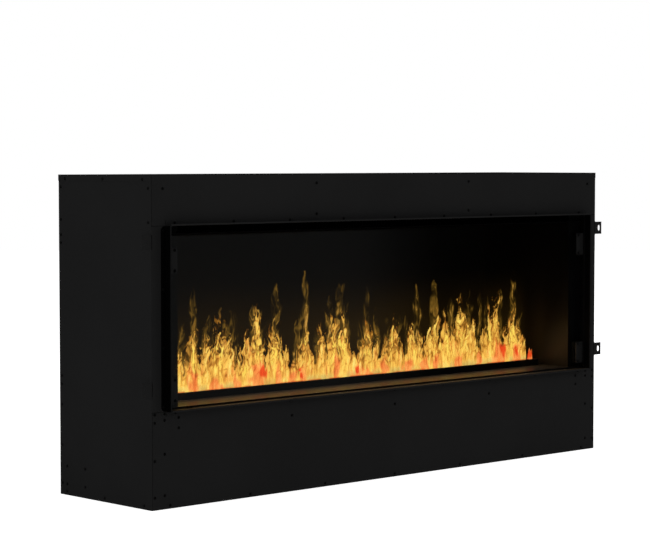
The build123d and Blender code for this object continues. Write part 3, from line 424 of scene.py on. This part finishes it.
def outline(table, x, z, taper):
    """How deep each point lies in a shape (0 at an edge, 1 on a centre line) and how far up it is."""
    depth = np.full_like(x, -1.0)
    share = np.ones_like(x)
    for centre, height, half, lean in table:
        up = np.clip(z / height, 0, 1)
        width = half * (1 - up ** taper) ** 0.8 + 0.01
        here = 1 - np.abs(x - centre - lean * up ** 1.4) / width
        here = np.minimum(here, 1.6 * (1 - z / height))
        share = np.where(here > depth, up, share)
        depth = np.maximum(depth, here)
    return depth, share


class Turbulence:
    """Seeded noise over one flame sheet, drawn in straight places or in places bent by the draught."""

    def __init__(self, seed):
        self.rng = np.random.default_rng(seed)
        self.x, self.z = np.meshgrid(ALONG, UP, indexing="ij")
        lift = smooth(4, 90, self.z)
        sway = 22 * self.straight(34, 44) + 12 * self.straight(13, 24) + 7 * self.straight(6, 12)
        stretch = 26 * self.straight(20, 60) + 16 * self.straight(9, 30)
        self.bent_x = self.x + lift * sway
        self.bent_z = self.z + lift * stretch

    def straight(self, size_x, size_z):
        """Noise in -0.5..0.5 in straight places."""
        return lattice_noise(self.rng, self.x, self.z, size_x, size_z) - 0.5

    def row(self, size):
        """Noise in 0..1 that changes only along the slot."""
        return lattice_noise(self.rng, self.x, self.z * 0, size, ROW_CELL)

    def noise(self, size_x, size_z):
        """Noise in 0..1 in bent places."""
        return lattice_noise(self.rng, self.bent_x, self.bent_z, size_x, size_z)

    def threads(self, size_x, size_z):
        """Wandering lines in bent places."""
        return threads(self.rng, self.bent_x, self.bent_z, size_x, size_z)


def flame_bodies(field, scale):
    """Cover of the bodies, with the depth, holes, creases and loose licks that colour them."""
    z = field.z
    depth, share = outline(BODIES, field.bent_x, field.bent_z / (1.07 * scale), 1.25)
    floor_band = 1 - z / (26 + 30 * field.row(26))
    depth = np.maximum(depth, floor_band - 3 * smooth(*BAND_ENDS, field.x))
    rough = 0.15 + 0.85 * smooth(0.15, 0.8, share) * smooth(10, 60, z)
    depth = depth + rough * (0.95 * (field.noise(7, 26) - 0.55) + 0.55 * (field.noise(3.6, 13) - 0.5))

    tatter = field.threads(11, 34) * 0.5 + 0.5 * field.noise(6, 15)
    hole = smooth(0.66, 0.76, tatter) * smooth(0.2, 0.7, share) * smooth(22, 56, z)
    crease = field.threads(10, 40) ** 7 + field.threads(6, 18) ** 7
    crease = np.clip(crease, 0, 1) * (0.6 + 0.4 * smooth(0.1, 0.6, share)) * smooth(4, 24, z)
    cover = smooth(0.02, 0.16, depth) * (1 - 0.95 * hole)
    cover = cover * (1 - 0.7 * crease * smooth(0.35, 0.8, share))

    licks = field.threads(9, 62) ** 5 + 0.8 * field.threads(6, 34) ** 6
    around = [(centre, height * 1.25, half * 1.25, lean) for centre, height, half, lean in BODIES]
    reach = outline(around, field.bent_x, field.bent_z / scale, 1.6)[0]
    lace = smooth(0.50, 0.85, licks) * smooth(0.0, 0.3, reach) * smooth(30, 60, z)
    lace = lace * smooth(0.3, 0.62, field.noise(16, 28))
    return np.maximum(cover, lace * 0.9), depth, hole, crease, lace


def body_colours(field, cover, depth, hole, crease, lace):
    """Display colours of the bodies, with yellow hearts, orange and red spots and a patchy foot."""
    x, z = field.x, field.z
    heat = smooth(0.0, 0.55, depth)
    grain = 0.55 * field.threads(11, 46) + 0.45 * field.threads(5.5, 20)
    bright = 0.48 + 0.26 * heat + 0.66 * (grain - 0.5) + 0.24 * (field.noise(26, 40) - 0.5)
    bright = np.where(lace > cover * 0.99, np.maximum(bright, 0.62 * lace), bright)
    bright = np.clip(bright * (1 - 0.5 * hole) * (1 - 0.72 * crease), 0, 1)
    hearts = patches(HEARTS, field.bent_x, field.bent_z) * smooth(0.5, 0.8, bright)
    colour = blend_in(ramp(bright, BODY_TONES), np.array(HEART_COLOUR) / 255, 0.85 * hearts)

    spot_x = x + 14 * field.straight(14, 22)
    spot_z = z + 20 * field.straight(12, 26)
    ragged = 0.5 * (threads(field.rng, spot_x, spot_z, 7, 36) - 0.5) + 0.3 * field.straight(11, 30)
    warm = smooth(0.12, 0.62, patches(EMBERS, spot_x, spot_z) + ragged)
    colour = blend_in(colour, ramp(bright, EMBER_TONES), 0.8 * warm)
    fiery = smooth(0.3, 0.8, patches(FIERY, spot_x, spot_z) + 0.8 * ragged)
    colour = blend_in(colour, np.array(FIERY_COLOUR) / 255, 0.9 * fiery)
    pale = smooth(20, 2, z) * (1 - warm) * smooth(0.3, 0.6, field.row(30))
    colour = blend_in(colour, np.array(PALE_COLOUR) / 255, 0.6 * pale)
    foot = smooth(4, 0, z) * smooth(0.45, 0.65, field.row(24))
    return blend_in(colour, np.array(FOOT_COLOUR) / 255, 0.6 * foot)


def plume_haze(field, gain):
    """Strength of the faint plumes above the bodies."""
    drift = 0.35 * (field.bent_x - field.x)
    plume, climb = outline(PLUMES, field.x + drift, 0.88 * field.bent_z, 6)
    strands = 0.6 * field.threads(9, 70) + 0.4 * field.threads(4, 30)
    puff = smooth(-0.3, 0.9, plume + 1.15 * (field.noise(14, 30) - 0.45))
    puff = puff * (0.45 + 0.55 * smooth(0.35, 0.9, strands))
    wisps = smooth(0.74, 0.9, strands) * smooth(-0.3, 0.3, plume) * smooth(0.42, 0.6, field.noise(20, 30))
    haze = np.clip(puff * (0.80 - 0.2 * smooth(0.4, 1, climb)) + 0.3 * wisps, 0, 1) * gain
    torn = smooth(0.15, 0.6, 0.6 * field.noise(5, 11) + 0.4 * field.noise(10, 14))
    return haze * smooth(20, 60, field.z) * (0.3 + 0.75 * torn)


def flame_picture(seed, scale, plume_gain):
    """Display colour and cover of one flame sheet: bodies in front of plumes."""
    field = Turbulence(seed)
    cover, depth, hole, crease, lace = flame_bodies(field, scale)
    colour = body_colours(field, cover, depth, hole, crease, lace)
    haze = plume_haze(field, plume_gain)
    behind = (1 - cover) * (PLUME_COVER * smooth(0.0, 0.5, haze))
    total = cover + behind
    mixed = colour * cover[..., None] + ramp(haze, PLUME_TONES) * behind[..., None]
    return mixed / np.maximum(total, 1e-4)[..., None], total


def flame_material():
    """Glowing mist: the sheet's own colour and cover, broken up by fine rising streaks."""
    m = Nodes("flame_mist")
    m.tree.nodes.remove(m.shader)
    colour = m.add("ShaderNodeAttribute", attribute_name="flame_colour")
    streaks = m.noise(150, 3, 0.6, (1, 1, 0.3))
    flicker = m.add("ShaderNodeMix", data_type="RGBA", blend_type="MULTIPLY")
    flicker.inputs["Factor"].default_value = 1.0
    m.link(colour.outputs["Color"], flicker.inputs["A"])
    m.link(m.colours(streaks, [(0.30, (0.80, 0.76, 0.68)), (0.60, (1, 1, 1))]), flicker.inputs["B"])
    glow = m.add("ShaderNodeEmission", Strength=FLAME_STRENGTH)
    m.link(flicker.outputs["Result"], glow.inputs["Color"])
    clear = m.add("ShaderNodeBsdfTransparent")
    mix = m.add("ShaderNodeMixShader")
    m.link(colour.outputs["Alpha"], mix.inputs["Fac"])
    m.link(clear.outputs["BSDF"], mix.inputs[1])
    m.link(glow.outputs["Emission"], mix.inputs[2])
    m.link(mix.outputs["Shader"], m.output.inputs["Surface"])
    m.material.cycles.emission_sampling = "NONE"
    return m.material


def glowing_piece(name, place, faces, colour, alpha, material):
    """A piece of the flame from its points' places, display colours and cover (alpha)."""
    along, across, up = place
    points = np.stack([along * MM, FLAME_Y + across * MM, FLAME_BASE + up * MM], -1)
    mesh = bpy.data.meshes.new(name)
    mesh.from_pydata(points.tolist(), [], faces.tolist())
    attribute = mesh.attributes.new("flame_colour", "FLOAT_COLOR", "POINT")
    shown = np.clip(colour, 0, 1)
    lit = np.where(shown > 0.04045, ((shown + 0.055) / 1.055) ** 2.4, shown / 12.92)
    attribute.data.foreach_set("color", np.column_stack([lit, alpha]).astype(np.float32).ravel())
    mesh.polygons.foreach_set("use_smooth", [True] * len(mesh.polygons))
    mesh.materials.append(material)
    piece = bpy.data.objects.new(name, mesh)
    bpy.context.scene.collection.objects.link(piece)
    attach(piece, "housing")


def flame_sheet(name, seed, scale, plume_gain, offset, wave, material):
    """One sheet of flame, cut to its outline, that waves within the mist slot."""
    colour, cover = flame_picture(seed, scale, plume_gain)
    rng = np.random.default_rng(seed + SWAY_SEED)
    x, z = np.meshgrid(ALONG, UP, indexing="ij")
    inside = cover > RIM_COVER
    keep = inside[:-1, :-1] | inside[1:, :-1] | inside[:-1, 1:] | inside[1:, 1:]
    used = np.zeros_like(inside)
    for di in (0, 1):
        for dj in (0, 1):
            used[di:di + keep.shape[0], dj:dj + keep.shape[1]] |= keep

    # Points just outside the flame are drawn in to where the cover falls to RIM_COVER.
    drawn_x = np.zeros_like(x)
    drawn_z = np.zeros_like(x)
    hits = np.zeros_like(x)
    for di, dj in NEIGHBOURS:
        near = np.roll(inside, (-di, -dj), (0, 1))
        value = np.roll(cover, (-di, -dj), (0, 1))
        share = np.clip((RIM_COVER - cover) / np.maximum(value - cover, 1e-6), 0, 0.9) * near
        drawn_x += share * di * CELL
        drawn_z += share * dj * CELL
        hits += near
    rim = used & ~inside & (hits > 0)
    x[rim] += (drawn_x / np.maximum(hits, 1))[rim]
    z[rim] += (drawn_z / np.maximum(hits, 1))[rim]

    y = offset + wave * (lattice_noise(rng, x, z, 90, 70) + 0.6 * lattice_noise(rng, x, z, 28, 30) - 0.8)
    number = np.full(inside.shape, -1)
    number[used] = np.arange(used.sum())
    i, j = np.nonzero(keep)
    faces = np.stack([number[i, j], number[i + 1, j], number[i + 1, j + 1], number[i, j + 1]], -1)
    alpha = np.where(inside[used], cover[used], 0)
    glowing_piece(name, (x[used], y[used], z[used]), faces, colour[used], alpha, material)


def flame_veil(name, offset, wave, material):
    """A coarse, faint sheet of lit mist between and above the flames."""
    along = np.arange(-VEIL_HALF, VEIL_HALF + 1, VEIL_CELL)
    up = np.arange(0, VEIL_HEIGHT + 1, VEIL_CELL)
    x, z = np.meshgrid(along, up, indexing="ij")
    rng = np.random.default_rng(VEIL_SEED)
    drift = 0.7 + 0.6 * lattice_noise(rng, x, z, 60, 70)
    cover = VEIL_COVER * drift * smooth(VEIL_HEIGHT, VEIL_FADE, z)
    cover = cover * smooth(-VEIL_HALF, VEIL_LEFT, x) * smooth(VEIL_HALF, VEIL_RIGHT, x)
    y = offset + wave * (lattice_noise(rng, x, z, 90, 70) - 0.5)
    number = np.arange(x.size).reshape(x.shape)
    faces = np.stack([number[:-1, :-1], number[1:, :-1], number[1:, 1:], number[:-1, 1:]], -1)
    colour = np.tile(np.array(VEIL_COLOUR) / 255, (x.size, 1))
    place = (x.ravel(), y.ravel(), z.ravel())
    glowing_piece(name, place, faces.reshape(-1, 4), colour, cover.ravel(), material)


mist = flame_material()
flame_veil("flame_veil", offset=5.1, wave=0.4, material=mist)
flame_sheet("flame_back", seed=11, scale=1.0, plume_gain=1.0, offset=3.0, wave=2.0, material=mist)
flame_sheet("flame_front", seed=24, scale=0.86, plume_gain=0.0, offset=-2.5, wave=2.0, material=mist)


# ---- stage, lights and camera -------------------------------------------------------------------
# Lengths in this section are metres, unless marked, and light powers are watts.
FLOOR_RADIUS = 14
FLOOR_GLOW = 0.62

# The haze board: its extent, the stretch of X it fades over and its brightness along that stretch.
BOARD_X = (2.6, 7.2)
BOARD_Y = -5
BOARD_Z = (-1.2, 1.4)
BOARD_FADE = (3.0, 6.6)
BOARD_LEVELS = [
    (0.0, 0.031), (0.38, 0.031), (0.44, 0.028), (0.52, 0.014), (0.60, 0.004), (0.80, 0.001),
    (1.0, 0.0005),
]

WHITE = (1.0, 1.0, 1.0)
AMBER = (1.0, 0.7, 0.4)
FIRE = (1.0, 0.5, 0.12)
GLOW = FLAME_BASE + 0.045    # middle height of the light that the flame gives
FIRE_STRIP = (1.3, 0.07)
FIRE_END = (0.05, 0.10)
FIRE_APART = 0.004           # from the slot's middle to each long strip
FIRE_DROP = 0.35             # how far the strips aim down over 1 m
FIRE_END_X = 0.60
FIRE_END_AIM = 0.70
SOFT_BOX = (3.0, 3.0)
OBJECT_MIDDLE = (0, 0, 0.4)

AMBIENT = (0.72, 0.72, 0.72, 1)
MIRRORED = (0.006, 0.006, 0.006, 1)
BACKDROP = (1, 1, 1, 1)

CAMERA_LENS = 117.4          # millimetres
CAMERA_SENSOR = 36           # millimetres
CAMERA_PLACE = (-3.862, -4.026, 0.8147)
CAMERA_DOWN = 3.066          # degrees below level
CAMERA_RIGHT = 43.144        # degrees to the right of straight back


def stage_floor():
    """A plain pale disc under the fireplace."""
    bm = bmesh.new()
    bmesh.ops.create_circle(bm, cap_ends=True, segments=96, radius=FLOOR_RADIUS)
    mesh = bpy.data.meshes.new("floor")
    bm.to_mesh(mesh)
    bm.free()
    floor = bpy.data.objects.new("floor", mesh)
    bpy.context.scene.collection.objects.link(floor)
    m = Nodes("pale_floor")
    tone = m.colours(m.noise(1.2, 3), [(0.3, (0.84, 0.84, 0.84)), (0.7, (0.88, 0.88, 0.88))])
    m.link(tone, m.shader.inputs["Base Color"])
    m.set(Roughness=0.9, Specular_IOR_Level=0.0)
    m.set(Emission_Color=(1, 1, 1, 1), Emission_Strength=FLOOR_GLOW)
    mesh.materials.append(m.material)
    floor.visible_glossy = False


def area_light(name, at, aim, size, power, colour=WHITE, glossy=True):
    """A rectangular light that the camera does not see, turned from its place to its aim."""
    light = bpy.data.lights.new(name, "AREA")
    light.shape = "RECTANGLE"
    light.size, light.size_y = size
    light.energy = power
    light.color = colour
    lamp = bpy.data.objects.new(name, light)
    lamp.location = at
    direction = [aim[k] - at[k] for k in range(3)]
    yaw = math.atan2(direction[1], direction[0]) - math.pi / 2
    pitch = math.atan2(direction[2], math.hypot(direction[0], direction[1])) + math.pi / 2
    lamp.rotation_euler = (pitch, 0, yaw)
    lamp.visible_glossy = glossy
    lamp.visible_camera = False
    bpy.context.scene.collection.objects.link(lamp)


def haze_card():
    """A dim graded board that only reflections see, as the pale haze on the glass."""
    left, right = BOARD_X
    bottom, top = BOARD_Z
    bm = bmesh.new()
    corners = ((left, bottom), (right, bottom), (right, top), (left, top))
    bm.faces.new([bm.verts.new((x, BOARD_Y, z)) for x, z in corners])
    mesh = bpy.data.meshes.new("haze_card")
    bm.to_mesh(mesh)
    bm.free()
    card = bpy.data.objects.new("haze_card", mesh)
    bpy.context.scene.collection.objects.link(card)
    m = Nodes("haze_board")
    axes = m.add("ShaderNodeSeparateXYZ")
    m.link(m.place, axes.inputs["Vector"])
    along = m.spread(axes.outputs["X"], 0, 1, *BOARD_FADE)
    shades = m.colours(along, [(at, (level, level, level * 0.98)) for at, level in BOARD_LEVELS])
    m.link(shades, m.shader.inputs["Emission Color"])
    m.set(Base_Color=(0, 0, 0, 1), Specular_IOR_Level=0.0, Emission_Strength=1.0)
    mesh.materials.append(m.material)
    for ray in ("camera", "diffuse", "transmission", "shadow"):
        setattr(card, "visible_" + ray, False)


def fire_lights():
    """The light that the flame throws to the front, the back and both ends."""
    for name, side, power, colour in (("fire_front", -1, 14, AMBER), ("fire_back", 1, 3, FIRE)):
        at = (0, FLAME_Y + side * FIRE_APART, GLOW)
        aim = (0, FLAME_Y + side, GLOW - FIRE_DROP)
        area_light(name, at, aim, FIRE_STRIP, power, colour, glossy=False)
    for name, side in (("fire_right", 1), ("fire_left", -1)):
        at = (side * FIRE_END_X, FLAME_Y, GLOW + 0.01)
        aim = (side * FIRE_END_AIM, FLAME_Y, GLOW + 0.02)
        area_light(name, at, aim, FIRE_END, power=1.2, colour=FIRE, glossy=False)


def studio_world():
    """White behind everything, dim in reflections and a soft grey light from all sides."""
    world = bpy.data.worlds.new("studio")
    bpy.context.scene.world = world
    world.use_nodes = True
    tree = world.node_tree
    tree.nodes.clear()
    path = tree.nodes.new("ShaderNodeLightPath")
    ambient, mirrored, backdrop = [tree.nodes.new("ShaderNodeBackground") for _ in range(3)]
    ambient.inputs["Color"].default_value = AMBIENT
    mirrored.inputs["Color"].default_value = MIRRORED
    backdrop.inputs["Color"].default_value = BACKDROP
    unseen = tree.nodes.new("ShaderNodeMixShader")
    seen = tree.nodes.new("ShaderNodeMixShader")
    out = tree.nodes.new("ShaderNodeOutputWorld")
    tree.links.new(path.outputs["Is Glossy Ray"], unseen.inputs["Fac"])
    tree.links.new(ambient.outputs["Background"], unseen.inputs[1])
    tree.links.new(mirrored.outputs["Background"], unseen.inputs[2])
    tree.links.new(path.outputs["Is Camera Ray"], seen.inputs["Fac"])
    tree.links.new(unseen.outputs["Shader"], seen.inputs[1])
    tree.links.new(backdrop.outputs["Background"], seen.inputs[2])
    tree.links.new(seen.outputs["Shader"], out.inputs["Surface"])


def photo_camera():
    """A camera at the photo's viewing angle."""
    data = bpy.data.cameras.new("camera")
    data.lens = CAMERA_LENS
    data.sensor_width = CAMERA_SENSOR
    camera = bpy.data.objects.new("camera", data)
    camera.location = CAMERA_PLACE
    camera.rotation_euler = (math.radians(90 - CAMERA_DOWN), 0, math.radians(-CAMERA_RIGHT))
    bpy.context.scene.collection.objects.link(camera)
    bpy.context.scene.camera = camera


stage_floor()
haze_card()
area_light("from_right", (7.0, -4.6, 3.0), OBJECT_MIDDLE, SOFT_BOX, power=260, glossy=False)
area_light("from_left", (-6.0, 0.8, 2.6), OBJECT_MIDDLE, SOFT_BOX, power=90)
fire_lights()
studio_world()
photo_camera()
bpy.context.scene.view_settings.view_transform = "Standard"
